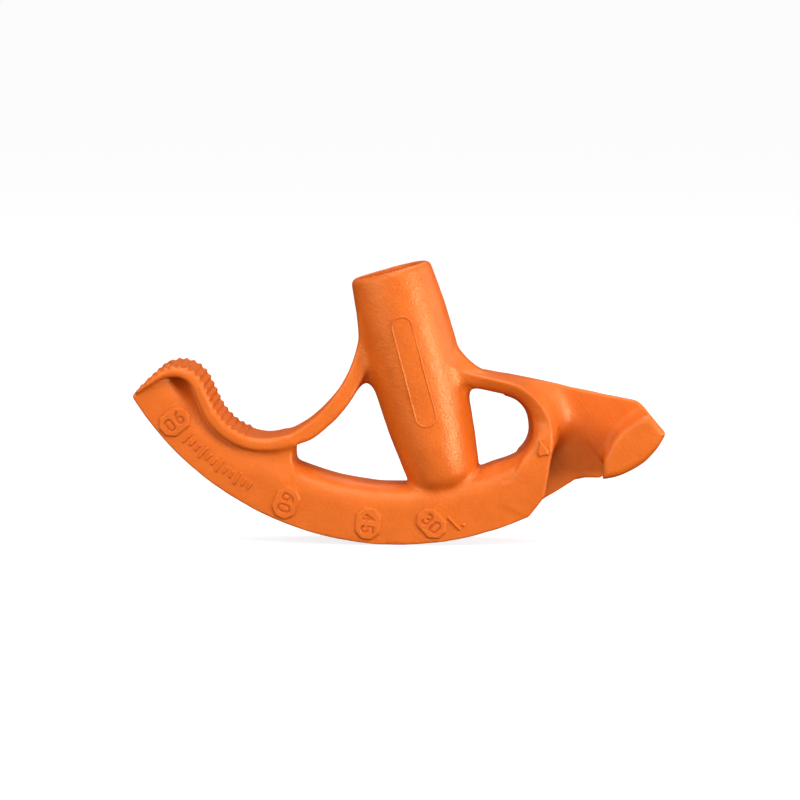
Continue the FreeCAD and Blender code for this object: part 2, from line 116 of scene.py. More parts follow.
# ---------------------------------------------------------------- front frame
RIDGE_POINT, RIDGE_SLOPE = (67.8, -68.7), -11.35
RIDGE_EDGE = 1.2
WINDOW, WINDOW_RADIUS = (45.2, -86.8), 15.2    # the window's round front
WINDOW_BACK = 8.0                              # X where its straight top starts, inside the socket
WINDOW_TURN = -62.0                            # direction in which its round front ends
WINDOW_SILL, SILL_ANGLES = 1.0, (33, 4)        # its lower edge, just inside the shoe's inner edge
SILL_FRONT = 46.0                              # X where that edge starts
FRONT_FOOT = (LIP - 10, CHAMFER_ANGLE - 4)     # radius and angle of points in the shoe that close outlines
FRAME_FOOT = (RIM + 6, 14.0)
POST_FOOT = (RIM + 8, 23.0)
CHEEK_END = (RIM + 8, 24.0)
FRAME_BACK = 23.0                              # X where the frame's top starts
FRAME_CLOSE = (28.0, -95.0)
FRAME_HALF = 10.8                              # half width beside the window
FRAME_EDGE, FRAME_WINDOW_EDGE = 1.6, 4.0
FLARE, FLARE_REACH = 0.42, (26.0, 46.0)        # it widens away from the window, more so towards the front
FLARE_LIMIT = 12.0                             # distance from the window where it stops widening
LESS_FLARE, LESS_FLARE_REACH = 0.2, (92.0, 99.0)

# ---------------------------------------------------------------- post, the raised part of the frame
POST, POST_RADIUS = (42.5, -92.0), 26.6        # its round shoulder
POST_SLOPE = 80.0                              # direction of its straight side
POST_INNER = [(51.7, -110.1), (58.4, -91.4), (52.0, -74.0)]
POST_BACK = 20.0                               # X where it closes along the window's top
POST_REACH = (82.0, 92.0)                      # it rises to the full width going down
POST_DRAFT, DRAFT_REACH = 0.12, (-104.0, -90.0)
POST_EDGE, POST_WINDOW_EDGE, POST_BLEND = 1.6, 6.0, 1.0

# ---------------------------------------------------------------- far cheek
CHEEK_BACK, CHEEK_FRONT = 50.0, 106.2          # X of the ends of its top
CHEEK_CORNER = [(111.6, -79.6), (115.9, -86.0)]
CHEEK_FOOT = [(89.8, -111.8), (83.0, -111.7), (78.4, -112.8)]
CHEEK_LIP, CHEEK_LIP_ANGLES = 1.2, (34.0, 24.0)    # how far it stays inside the shoe's outer edge, and where
CHEEK_SKIPS = 3                                # points of the hook's arc that are left out next to its heel
CHEEK_INNER = [(56.0, -92.0), (50.0, -76.0)]
CHEEK_MIDDLE, CHEEK_HALF = 14.0, 2.0           # its place across the part, and half its thickness
CHEEK_EDGE, CHEEK_WINDOW_EDGE = 1.6, 1.0
CHEEK_BLEND, CHEEK_MORE_BLEND, CHEEK_BLEND_REACH = 4.0, 7.0, (-104.0, -84.0)
LIP_STEP, LIP_STEP_REACH = 0.9, (-10.0, 4.0)   # the front's lip steps in, going to the far side
LIP_OPEN, LIP_OPEN_REACH = 12.0, (33.5, 37.5)  # and gives way to the hook past these angles
FAR_EDGE, FAR_LIP_EDGE, FRONT_BLEND = 1.6, 0.9, 1.5

# ---------------------------------------------------------------- hook: in the straight conduit's directions
SEAT, HOOK_WALL = 142.0, 5.3                   # the conduit's underside, and the metal below it
HOOK_LENGTH = 38.5                             # how far the nose reaches past the zero mark
HOOK_RADIUS, HOOK_ALONG = 35.0, 22.0           # the outer face
FINGER_RADIUS, FINGER_ALONG = 28.7, 27.0       # the finger's inner face
TIP_RADIUS = 5.0
HOOK_EDGE, CHANNEL_EDGE, HOOK_BLEND = 3.6, 1.4, 2.5
NOSE_BACK, NOSE_SLANT, NOSE_EDGE = 1.1, 0.09, 1.5      # the nose is cut a little short and aslant

# ---------------------------------------------------------------- socket: depths are down its axis
SOCKET_MOUTH, SOCKET_TILT, SOCKET_LENGTH = (-3.8, -17.3), 14.8, 100.0
MOUTH_RADIUS, ROOT_RADIUS = 18.0, 15.2
BELLY_RADIUS, BELLY_DEPTH = 20.4, 40.0
ROOT_BULGE, BULGE_REACH = 0.15, (55.0, 92.0)   # how much thicker than wide it is at its root
MOUTH_EDGE, ROOT_EDGE = 2.6, 7.0
SOCKET_BLEND, BLEND_REACH = 3.0, (26.0, 48.0)  # the blend at its mouth; it grows going down,
ARM_BLEND = 6.5                                # by this much at the rear brace
RIDGE_BLEND, RIDGE_BLEND_REACH = 5.0, (8.0, 24.0)      # and by this much more at the front
FLANK_BLEND, FLANK_REACH = 4.0, (4.0, 10.0)    # the blend away from the middle plane
BELOW_BLEND = 7.0                              # the largest blend below the ridge
BELOW_REACH, BELOW_FRONT_REACH = (1.0, 5.0), (16.0, 22.0)
SHOE_BLEND, SHOE_BLEND_REACH = 2.6, (96.0, 108.0)
THREAD_RADIUS, THREAD_DEPTH, THREAD_PITCH = 12.2, 38.0, 25.4 / 14
THREAD_HEIGHT, THREAD_FLANK = 1.2, 1.25        # how deep its turns are, and how steep against a plain zigzag
THREAD_START, THREAD_STOP = 1.2, 0.3           # how far it stays from the mouth and from the bore's floor
THREAD_SIDES, ROWS_PER_TURN = 96, 8
SLEEVE_RADIUS = 14.3                           # outside of the sleeve that carries the thread
BORE_MORE, BORE_EDGE = 1.6, 0.5                # how much wider than the thread the bore is
COUNTERSINK_MORE, COUNTERSINK_DEPTH = 1.8, 3.0
WAVES = ((0.05, 31.0, 0.4), (0.04, 17.0, 2.1), (0.03, 9.5, 4.0))     # height, length and phase
WAVE_Z, WAVE_Y, WAVE_ACROSS = 0.9, 1.1, 0.6    # number of waves along these, against that along X

# ---------------------------------------------------------------- marks
MARK_GRID, MARK_HEIGHT = 0.2, 0.95
MARK_SLOPE, MARK_EDGE = 0.8, 0.3
MARK_ROOT = 0.9                                # how deep a mark goes below the face it stands on
MARK_SPACE, MARK_ABOVE, MARK_BELOW = 1.5, 1.5, 1.6     # how far a grid goes past its mark and the near face
PAD_LENGTH, PAD_WIDTH = 15.0, 11.5
PAD_MIDDLE = 129.8                             # distance from the bend's centre
PAD_CORNER, PAD_ROUND = 3.5, 1.6               # how much the corners are cut off, and the radius left on them
PADS = ((30, 6.8, 35.0),                       # bend in degrees, angle round the shoe, and extra turn
        (45, -5.7, 0.0),
        (60, -22.3, 0.0),
        (90, -49.6, 0.0))
DIGIT_BOWL, DIGIT_BOWL_AT, DIGIT_TOP = 1.45, 1.1, 2.55     # radius and height of bowls, and half the height
DIGIT_PLACES = (-2.5, 2.5)
DIGIT_LINE, DIGIT_DEPTH, DIGIT_EDGE = 0.5, 0.7, 0.2
ROUND_STEP = 15.0                              # degrees between the points of small arcs
ARROW = [(-2.6, -3.0), (2.6, -3.0), (2.6, -0.4), (0.0, 4.6), (-2.6, -0.4)]
ARROW_PLACE, ARROW_TURN, ARROW_ROOM = (64.6, -95.6), 12.0, (5.5, 7.5)
BAR = [(-0.9, -4.2), (0.9, -4.2), (0.9, 4.2), (-0.9, 4.2)]
BAR_DOT, BAR_DOT_RADIUS = (2.6, -3.4), 1.0
BAR_PLACE, BAR_TURN, BAR_ROOM = (25.3, -128.7), 44.0, (5.0, 6.0)
TICKS, TICK_START, TICK_STEP = 12, -45.6, 1.4
TICK_LENGTH, TICK_WIDTH, TICK_HEIGHT = 6.6, 1.4, 1.1
TICK_MIDDLE = 130.2                            # distance from the bend's centre
LONG_TICK_EVERY, SHORT_TICK = 3, 0.62          # the others have this part of the long ones' length
TICKS_LOW, TICKS_HIGH = (-104.0, -HALF - 1.6, -124.0), (-58.0, -HALF + 1.2, -84.0)
PLATE_DEPTH, PLATE_LENGTH, PLATE_WIDTH = 45.0, 50.0, 9.0
PLATE_LINE, PLATE_HEIGHT = 1.0, 0.45           # width and height of the border
PLATE_SLOPE, PLATE_EDGE, PLATE_ROOT = 0.7, 0.25, 0.8
PLATE_SPACE, PLATE_BELOW, PLATE_ABOVE = 2, 1.2, 0.9

# ---------------------------------------------------------------- paint, floor, light and camera
PAINT_COLOURS = ((0.3, (0.63, 0.108, 0.006)), (0.7, (0.70, 0.127, 0.009)))
PAINT_ROUGHNESS = ((0.3, (0.36,) * 3), (0.7, (0.46,) * 3))
PAINT_IOR, PAINT_SPECULAR, PAINT_SHEEN = 1.42, 1.0, (1.0, 0.76, 0.4, 1)
BLOTCHES, SMEARS, PEBBLES, PEEL = 90.0, 420.0, 760.0, 1500.0   # noise scales, the object being in metres
SKY = ((0.25, (0.03,) * 3), (0.75, (0.56,) * 3))
SKY_BRIGHT = (0.0, -0.35, 0.35)                # the sky is bright this way, above the front, and dark behind
FLOOR_HALF, FLOOR_DROP = 60, 0.0004            # in metres, as are the sizes below
FLOOR_COLOUR, FLOOR_GLOW, FLOOR_ROUGHNESS = (0.3, 0.3, 0.3, 1), 0.82, 0.9
LIGHTS = (("key", 60.0, 4.0, 0.5, 13.5),       # name, azimuth, elevation, size in metres and power in watts
          ("rim", 105.0, 12.0, 1.0, 4.0),
          ("fill", -50.0, 18.0, 1.0, 6.8),
          ("top", 6.0, 55.0, 0.8, 8.0),
          ("back", 170.0, 64.0, 1.0, 6.0))
LIGHT_DISTANCE = 1.25
AZIMUTH, ELEVATION, CAMERA_DISTANCE = 3.0, 6.5, 1.984
FOCAL_LENGTH, SENSOR_WIDTH = 200.0, 36.0
AIM_RISE = 0.0006                              # how far above the box's middle the camera aims


# ---------------------------------------------------------------- plane geometry
def polar(radius, angle):
    """A point at this radius from the bend's centre, by its angle from straight down."""
    return (radius * math.sin(math.radians(angle)), -radius * math.cos(math.radians(angle)))


def offset(point, direction, distance):
    """The point this far away in this direction."""
    angle = math.radians(direction)
    return (point[0] + distance * math.cos(angle), point[1] + distance * math.sin(angle))


def direction_to(start, end):
    return math.degrees(math.atan2(end[1] - start[1], end[0] - start[0]))


def on_tangent(along, out):
    """A point in the straight conduit's own directions at the zero mark."""
    return offset(polar(out, ZERO_ANGLE), ZERO_ANGLE, along)


def arc(centre, radius, start, end, step=2.0):
    """Points along an arc, turning from the first direction to the second."""
    count = max(2, int(abs(end - start) / step) + 1)
    return [offset(centre, start + (end - start) * i / (count - 1), radius) for i in range(count)]


def rim_arc(radius, start, end):
    """Points along an arc about the bend's centre, between two angles from straight down."""
    return arc((0, 0), radius, -90 + start, -90 + end)


def line_meets_circle(start, direction, centre, radius):
    """The last point that a circle has in common with a line going in this direction."""
    angle = math.radians(direction)
    dx, dz = start[0] - centre[0], start[1] - centre[1]
    half = dx * math.cos(angle) + dz * math.sin(angle)
    return offset(start, direction, -half + math.sqrt(half ** 2 - (dx ** 2 + dz ** 2 - radius ** 2)))


# ---------------------------------------------------------------- the grid and distances on it
class Grid:
    """Sample points of a box, as arrays that combine by broadcasting."""

    def __init__(self, low, high, step):
        self.low = np.array(low, float)
        self.step = step
        counts = [int(math.ceil((b - a) / step)) + 1 for a, b in zip(low, high)]
        axes = [a + step * np.arange(n) for a, n in zip(low, counts)]
        axes = np.meshgrid(*axes, indexing="ij", sparse=True)
        self.x, self.y, self.z = (v.astype(np.float32) for v in axes)
        self.side = np.abs(self.y)
        self.radius = np.hypot(self.x, self.z)
        self.turn = np.arctan2(self.x, -self.z)
        self.angle = np.degrees(self.turn)


def segment_distances(x, z, points, closed):
    """For each segment of an outline: its ends, the distance from it, the nearest place along it from 0 to 1,
    and which side of it a point lies on, positive on its left."""
    following = points[1:] + points[:1] if closed else points[1:]
    for start, end in zip(points, following):
        dx, dz = end[0] - start[0], end[1] - start[1]
        squared = dx * dx + dz * dz
        if squared < 1e-9:
            continue
        px, pz = x - start[0], z - start[1]
        place = np.clip((px * dx + pz * dz) / squared, 0, 1)
        distance = np.hypot(px - place * dx, pz - place * dz)
        yield start, end, distance, place, dx * pz - dz * px


def polygon(x, z, points):
    """Signed distance to a closed outline in the XZ plane, negative inside."""
    nearest = None
    inside = np.zeros(np.broadcast(x, z).shape, bool)
    for start, end, distance, _, side in segment_distances(x, z, points, True):
        nearest = distance if nearest is None else np.minimum(nearest, distance)
        crosses = (z >= start[1]) != (z >= end[1])
        inside ^= crosses & ((side > 0) == (end[1] > start[1]))
    return np.where(inside, -nearest, nearest).astype(np.float32)


def path(x, z, points):
    """Signed distance to an open path, positive on its left, and the length along it to the nearest point."""
    nearest = np.full(np.broadcast(x, z).shape, 1e6)
    sign = np.ones_like(nearest)
    along = np.zeros_like(nearest)
    run = 0.0
    for start, end, distance, place, side in segment_distances(x, z, points, False):
        length = math.dist(start, end)
        closer = distance < nearest
        nearest = np.where(closer, distance, nearest)
        sign = np.where(closer, np.where(side > 0, 1.0, -1.0), sign)
        along = np.where(closer, run + place * length, along)
        run += length
    return (nearest * sign).astype(np.float32), along.astype(np.float32)


def stroke(x, z, lines):
    """Distance to the nearest of several open lines."""
    nearest = None
    for line in lines:
        for _, _, distance, _, _ in segment_distances(x, z, line, False):
            nearest = distance if nearest is None else np.minimum(nearest, distance)
    return nearest


def half_plane(x, z, point, direction):
    """Positive on the left of a line through this point."""
    angle = math.radians(direction)
    return (z - point[1]) * math.cos(angle) - (x - point[0]) * math.sin(angle)


def smooth_min(a, b, k):
    """The union of two fields, with a fillet about this large where they meet."""
    h = np.maximum(k - np.abs(a - b), 0) / np.maximum(k, 1e-6)
    return np.minimum(a, b) - h * h * k / 4


def smooth_max(a, b, k):
    """What two fields have in common, with the edge between them rounded."""
    return -smooth_min(-a, -b, k)


def smooth_step(value, low, high):
    """0 below the first limit, 1 above the second, and a smooth rise between them."""
    t = np.clip((value - low) / (high - low), 0, 1)
    return t * t * (3 - 2 * t)


# ---------------------------------------------------------------- points that several regions share
sweep = offset(BRACE_ARC, BRACE_START, BRACE_RADIUS - SWEEP_RADIUS)
heel_tip = polar(LIP, HEEL_ANGLE)
heel_slope = direction_to(heel_tip, HUMP) + math.degrees(math.asin(HUMP_RADIUS / math.dist(heel_tip, HUMP)))
stretch = math.sqrt(math.dist(HUMP, sweep) ** 2 - (HUMP_RADIUS + SWEEP_RADIUS) ** 2)
square = direction_to(HUMP, sweep) + math.degrees(math.atan2(stretch, HUMP_RADIUS + SWEEP_RADIUS))
post_side = offset(POST, POST_SLOPE - 90, POST_RADIUS)
post_top = offset(POST, RIDGE_SLOPE + 90, POST_RADIUS)
post_at_lip = line_meets_circle(post_side, POST_SLOPE + 180, (0, 0), LIP)
chamfer_top = offset(post_at_lip, POST_SLOPE, CHAMFER_RISE)
chamfer_foot = polar(LIP, CHAMFER_ANGLE)
window_top = offset(WINDOW, RIDGE_SLOPE + 90, WINDOW_RADIUS)
hook_depth = BEND + GROOVE + HOOK_WALL - HOOK_RADIUS
hook_centre = on_tangent(HOOK_ALONG, hook_depth)
heel_along = HOOK_ALONG - math.sqrt(HOOK_RADIUS ** 2 - (SEAT - hook_depth) ** 2)
hook_heel = on_tangent(heel_along, SEAT)
nose_out = hook_depth + math.sqrt(HOOK_RADIUS ** 2 - (HOOK_LENGTH - HOOK_ALONG) ** 2)
hook_nose = on_tangent(HOOK_LENGTH, nose_out)
finger_depth = SEAT + math.sqrt(FINGER_RADIUS ** 2 - (FINGER_ALONG - heel_along) ** 2)
finger_centre = on_tangent(FINGER_ALONG, finger_depth)
tip_along = HOOK_LENGTH - TIP_RADIUS
tip_out = finger_depth - math.sqrt((FINGER_RADIUS - TIP_RADIUS) ** 2 - (tip_along - FINGER_ALONG) ** 2)
finger_tip = on_tangent(tip_along, tip_out)
axis_down = (math.sin(math.radians(SOCKET_TILT)), -math.cos(math.radians(SOCKET_TILT)))

# lengths along the pedal's upper face from the heel: slope, hump, straight and sweep
slope_run = math.dist(heel_tip, offset(HUMP, heel_slope + 90, HUMP_RADIUS))
hump_run = math.radians(heel_slope + 90 - square) * HUMP_RADIUS
pedal_run = slope_run + hump_run + stretch
sweep_run = pedal_run + math.radians(BRACE_START + 180 - square) * SWEEP_RADIUS


def ridge_height(x):
    """Height of the straight ridge over the front."""
    return RIDGE_POINT[1] + (x - RIDGE_POINT[0]) * math.tan(math.radians(RIDGE_SLOPE))


def window_height(x):
    """Height of the window's straight upper edge, which runs along the ridge."""
    return window_top[1] + (window_top[0] - x) * math.tan(math.radians(-RIDGE_SLOPE))


def hook_arc():
    """The hook's outer face, from its open end back to its heel."""
    start, end = direction_to(hook_centre, hook_nose), direction_to(hook_centre, hook_heel)
    return arc(hook_centre, HOOK_RADIUS, start, end if end < start else end - 360)


def pedal_top():
    """The pedal's upper face from the heel, over the hump and down the sweep, and on up the rear brace."""
    points = [heel_tip]
    points += arc(HUMP, HUMP_RADIUS, heel_slope + 90, square)
    points += arc(sweep, SWEEP_RADIUS, square + 180, BRACE_START + 360)
    points += arc(BRACE_ARC, BRACE_RADIUS, BRACE_START, BRACE_END)
    return points


def tread_point(distance):
    """The point of the pedal's upper face this far along it from the heel."""
    if distance < slope_run:
        return offset(heel_tip, heel_slope, distance)
    distance -= slope_run
    if distance < hump_run:
        return offset(HUMP, heel_slope + 90 - math.degrees(distance / HUMP_RADIUS), HUMP_RADIUS)
    distance -= hump_run
    if distance < stretch:
        return offset(offset(HUMP, square, HUMP_RADIUS), square - 90, distance)
    return offset(sweep, square + 180 + math.degrees((distance - stretch) / SWEEP_RADIUS), SWEEP_RADIUS)


def near_outline():
    """The front's outer edge on the marked side, from the socket over the post and down to the lip."""
    points = [(FRAME_BACK, ridge_height(FRAME_BACK)), post_top]
    points += arc(POST, POST_RADIUS, RIDGE_SLOPE + 90, POST_SLOPE - 90)
    return points + [chamfer_top, chamfer_foot, polar(*FRONT_FOOT)]


def window_outline():
    """The front window, carried on behind the socket and below the shoe's inner edge."""
    points = [(WINDOW_BACK, window_height(WINDOW_BACK)), window_top]
    points += arc(WINDOW, WINDOW_RADIUS, RIDGE_SLOPE + 90, WINDOW_TURN)
    return points + [point for point in rim_arc(RIM - WINDOW_SILL, *SILL_ANGLES) if point[0] < SILL_FRONT]


def cheek_outline():
    """The far cheek, from the ridge round the hook, but for its heel, and back along the lip."""
    points = [(x, ridge_height(x)) for x in (CHEEK_BACK, CHEEK_FRONT)] + CHEEK_CORNER
    points += hook_arc()[:-CHEEK_SKIPS] + CHEEK_FOOT
    points += rim_arc(LIP - CHEEK_LIP, *CHEEK_LIP_ANGLES)
    return points + [polar(*CHEEK_END)] + CHEEK_INNER


def finger_outline():
    """The hook in side view: its outer face, the finger's inner face and the rounded tip."""
    inner_end = direction_to(finger_centre, finger_tip)
    points = hook_arc()
    points += arc(finger_centre, FINGER_RADIUS, direction_to(finger_centre, hook_heel) % 360, inner_end)
    return points + arc(finger_tip, TIP_RADIUS, inner_end, ZERO_ANGLE)


def barrel_radius(depth):
    """The socket's outer radius at a depth below its mouth: one curve through mouth, belly and root."""
    a = (BELLY_RADIUS - MOUTH_RADIUS) / BELLY_DEPTH
    b = ((ROOT_RADIUS - MOUTH_RADIUS) / SOCKET_LENGTH - a) / (SOCKET_LENGTH - BELLY_DEPTH)
    return MOUTH_RADIUS + a * depth + b * depth * (depth - BELLY_DEPTH)


def flattening(depth):
    """The socket's width over its thickness across the part: round at the mouth and oval at the root."""
    return 1 - ROOT_BULGE * smooth_step(depth, *BULGE_REACH)


# ---------------------------------------------------------------- the casting's field, region by region
def shoe(grid):
    """The curved shoe, its inner edge moved out below the pedal, where the face is set back."""
    x, z = grid.x, grid.z
    inner = RIM + SET_BACK * smooth_step(-grid.angle, *SET_BACK_REACH)
    shoulder = smooth_max(inner - grid.radius, grid.side - HALF, SHOULDER_EDGE)
    ends = np.maximum(half_plane(x, z, heel_tip, heel_slope), -half_plane(x, z, post_side, POST_SLOPE))
    ends = np.maximum(ends, -half_plane(x, z, chamfer_foot, direction_to(chamfer_foot, chamfer_top)))
    return smooth_max(smooth_max(shoulder, grid.radius - LIP, LIP_EDGE), ends, SHOE_END_EDGE)


def heel(grid):
    """Shoe, pedal, the recessed web between them, rear brace and cleats."""
    x, z = grid.x, grid.z
    top, along = path(x, z, pedal_top())
    into_brace = smooth_step(along, pedal_run + TREAD_END, sweep_run + BRACE_BEGIN)
    band_half = TREAD_HALF - (TREAD_HALF - BRACE_HALF) * into_brace
    band_half = band_half - NECK_SLIM * smooth_step(along, *(sweep_run + reach for reach in NECK_REACH))
    crest = slope_run + HUMP_LEAD
    deep = HEEL_THICKNESS + (HUMP_THICKNESS - HEEL_THICKNESS) * smooth_step(along, 0.0, crest)
    deep = deep + (TREAD_THICKNESS - HUMP_THICKNESS) * smooth_step(along, crest, pedal_run)
    growth = smooth_step(along, sweep_run - SWEEP_LEAD, sweep_run + SWEEP_LEAD)
    deep = deep + (BRACE_THICKNESS - TREAD_THICKNESS) * growth
    band = smooth_max(np.maximum(top, -top - deep), grid.side - band_half, BAND_EDGE)
    band = smooth_max(band, grid.radius - LIP + BAND_INSET, BAND_LIP_EDGE)

    growth = smooth_step(along, slope_run + WEB_GROWTH[0], pedal_run + WEB_GROWTH[1])
    web_half = WEB_HALF + WEB_MORE * growth
    swell = (WEB_MOST - web_half) * smooth_step(-top, *WEB_BULGE_REACH) * smooth_step(-x, *WEB_BACK_REACH)
    web_half = web_half + swell
    behind = half_plane(x, z, heel_tip, heel_slope)
    web = smooth_max(np.maximum(top, behind) + WEB_INSET, grid.side - web_half, WEB_EDGE)
    web = np.maximum(np.maximum(web, RIM - WEB_IN - grid.radius), grid.radius - RIM - WEB_OUT)
    web = smooth_max(web, x + WEB_FRONT, WEB_FRONT_EDGE)

    field = smooth_min(shoe(grid), web, WEB_BLEND)
    field = smooth_min(field, band, BAND_BLEND + BRACE_BLEND * into_brace)
    return smooth_min(field, cleats(grid), CLEAT_BLEND)


def cleats(grid):
    """Round-ended ribs across the tread."""
    rods = None
    for index in range(CLEATS):
        x, z = tread_point(slope_run + (index - CLEATS_BEHIND) * CLEAT_PITCH)
        rod = np.hypot(grid.x - x, grid.z - z)
        rods = rod if rods is None else np.minimum(rods, rod)
    return np.hypot(rods, np.maximum(grid.side - TREAD_HALF + CLEAT_INSET, 0)) - CLEAT_RADIUS


def front(grid):
    """The frame round the window with its raised post, the far cheek, and the hook, its nose cut aslant."""
    x, y, z = grid.x, grid.y, grid.z
    window = polygon(x, z, window_outline())
    flare = FLARE * smooth_step(x, *FLARE_REACH) - LESS_FLARE * smooth_step(-z, *LESS_FLARE_REACH)
    frame_half = FRAME_HALF + np.maximum(flare, 0.0) * np.clip(window, 0, FLARE_LIMIT)
    plan = polygon(x, z, near_outline() + [polar(*FRAME_FOOT), FRAME_CLOSE])
    field = smooth_max(plan, smooth_max(-window, grid.side - frame_half, FRAME_WINDOW_EDGE), FRAME_EDGE)

    post_half = frame_half + (HALF - frame_half) * smooth_step(-z, *POST_REACH)
    post_back = [window_top, (POST_BACK, window_height(POST_BACK))]
    plan = polygon(x, z, near_outline() + [polar(*POST_FOOT)] + POST_INNER + post_back)
    draft = POST_DRAFT * smooth_step(z, *DRAFT_REACH) * (y + HALF)
    post = smooth_max(-window, grid.side - post_half, POST_WINDOW_EDGE)
    field = smooth_min(field, smooth_max(plan - draft, post, POST_EDGE), POST_BLEND)

    cheek = smooth_max(polygon(x, z, cheek_outline()), -window, CHEEK_WINDOW_EDGE)
    cheek = smooth_max(cheek, np.abs(y - CHEEK_MIDDLE) - CHEEK_HALF, CHEEK_EDGE)
    field = smooth_min(field, cheek, CHEEK_BLEND + CHEEK_MORE_BLEND * smooth_step(z, *CHEEK_BLEND_REACH))
    field = smooth_max(field, y - HALF, FAR_EDGE)
    behind_lip = LIP_STEP * smooth_step(y, *LIP_STEP_REACH)
    behind_lip = behind_lip - LIP_OPEN * smooth_step(grid.angle, *LIP_OPEN_REACH)
    field = smooth_max(field, grid.radius - LIP + behind_lip, FAR_LIP_EDGE)
    field = smooth_max(field, half_plane(x, z, RIDGE_POINT, RIDGE_SLOPE), RIDGE_EDGE)

    field = smooth_min(field, hook(grid), HOOK_BLEND)
    along = x * math.cos(math.radians(ZERO_ANGLE)) + z * math.sin(math.radians(ZERO_ANGLE))
    return smooth_max(field, along - HOOK_LENGTH + NOSE_BACK + NOSE_SLANT * y, NOSE_EDGE)


def hook(grid):
    """The hook, with the channel for the conduit through it, open towards the bend's centre."""
    body = smooth_max(polygon(grid.x, grid.z, finger_outline()), grid.side - HALF, HOOK_EDGE)
    out = grid.x * math.sin(math.radians(ZERO_ANGLE)) - grid.z * math.cos(math.radians(ZERO_ANGLE))
    channel = np.where(out > BEND, np.hypot(out - BEND, grid.y), grid.side) - GROOVE
    return smooth_max(body, -channel, CHANNEL_EDGE)


def socket_blend(grid, depth):
    """Size of the fillet between the socket and the rest: most in the middle plane, at the two braces."""
    more = ARM_BLEND + RIDGE_BLEND * smooth_step(grid.x, *RIDGE_BLEND_REACH)
    blend = SOCKET_BLEND + more * smooth_step(depth, *BLEND_REACH)
    below = smooth_step(ridge_height(grid.x) - grid.z, *BELOW_REACH) * smooth_step(grid.x, *BELOW_FRONT_REACH)
    blend = blend + (FLANK_BLEND - blend) * smooth_step(grid.side, *FLANK_REACH)
    blend = blend + np.minimum(BELOW_BLEND - blend, 0.0) * below
    return blend + (SHOE_BLEND - blend) * smooth_step(grid.radius, *SHOE_BLEND_REACH)


def cast_waves(x, y, z):
    """The slight unevenness of a sand-cast surface."""
    waves = 0.0
    for amplitude, length, phase in WAVES:
        turn = 2 * math.pi / length
        lengthwise = np.sin(turn * x + phase) * np.sin(turn * z * WAVE_Z + 2 * phase)
        across = np.sin(turn * y * WAVE_Y + 3 * phase) * np.cos(turn * (x + z) * WAVE_ACROSS)
        waves = waves + amplitude * (lengthwise + across)
    return waves


def casting_field(grid):
    """The whole casting, with the conduit's groove and the bore for the thread cut in it."""
    x, y, z = grid.x, grid.y, grid.z
    dx, dz = x - SOCKET_MOUTH[0], z - SOCKET_MOUTH[1]
    depth = dx * axis_down[0] + dz * axis_down[1]
    off_axis = np.hypot(dx * axis_down[1] - dz * axis_down[0], y * flattening(depth))
    socket = smooth_max(off_axis - barrel_radius(depth), -depth, MOUTH_EDGE)
    socket = smooth_max(socket, depth - SOCKET_LENGTH, ROOT_EDGE)
    field = smooth_min(heel(grid), front(grid), FRONT_BLEND)
    field = smooth_min(field, socket, socket_blend(grid, depth))

    groove = np.where(grid.radius > BEND, grid.side, np.hypot(grid.radius - BEND, y)) - GROOVE
    before_end = half_plane(x, z, on_tangent(GROOVE_END, BEND), ZERO_ANGLE - 90)
    field = smooth_max(field, -np.maximum(groove, before_end), GROOVE_EDGE)
    bore = np.maximum(off_axis - THREAD_RADIUS - BORE_MORE, depth - THREAD_DEPTH)
    countersink = np.maximum(off_axis - THREAD_RADIUS - COUNTERSINK_MORE + depth, depth - COUNTERSINK_DEPTH)
    return smooth_max(field, -np.minimum(bore, countersink), BORE_EDGE) + cast_waves(x, y, z)


# ---------------------------------------------------------------- fields into meshes
def surface_net(field, grid):
    """Vertices, in millimetres, and outward quads of the surface where the field is zero."""
    inside = field < 0
    corners = [(a, b, c) for a in (0, 1) for b in (0, 1) for c in (0, 1)]
    nx, ny, nz = (n - 1 for n in field.shape)

    def corner(values, a, b, c):
        return values[a:a + nx, b:b + ny, c:c + nz]

    filled = sum(corner(inside, *which).astype(np.int8) for which in corners)
    cells = np.nonzero((filled > 0) & (filled < 8))
    number = np.full((nx, ny, nz), -1, np.int32)
    number[cells] = np.arange(len(cells[0]))
    values = {which: corner(field, *which)[cells] for which in corners}
    total = np.zeros((len(cells[0]), 3))
    crossings = np.zeros(len(cells[0]))
    for first in corners:
        for axis in range(3):
            if first[axis]:
                continue
            second = tuple(1 if i == axis else first[i] for i in range(3))
            a, b = values[first], values[second]
            crossed = (a < 0) != (b < 0)
            place = np.where(crossed, a / np.where(crossed, a - b, 1), 0)
            for i in range(3):
                total[:, i] += np.where(crossed, first[i] + (place if i == axis else 0), 0)
            crossings += crossed
    points = (np.stack(cells, 1) + total / crossings[:, None]) * grid.step + grid.low

    quads = []
    for axis in range(3):
        u, v = (axis + 1) % 3, (axis + 2) % 3
        lower = [slice(1, n - 1) for n in field.shape]
        upper = list(lower)
        lower[axis], upper[axis] = slice(0, field.shape[axis] - 1), slice(1, field.shape[axis])
        a, b = inside[tuple(lower)], inside[tuple(upper)]
        at = np.array(np.nonzero(a != b))
        outward = a[tuple(at)]
        at[u] += 1
        at[v] += 1
        around = []
        for du, dv in ((-1, -1), (0, -1), (0, 0), (-1, 0)):
            cell = at.copy()
            cell[u] += du
            cell[v] += dv
            around.append(number[tuple(cell)])
        around = np.stack(around, 1)
        quads.append(np.where(outward[:, None], around, around[:, ::-1]))
    return points, np.concatenate(quads)


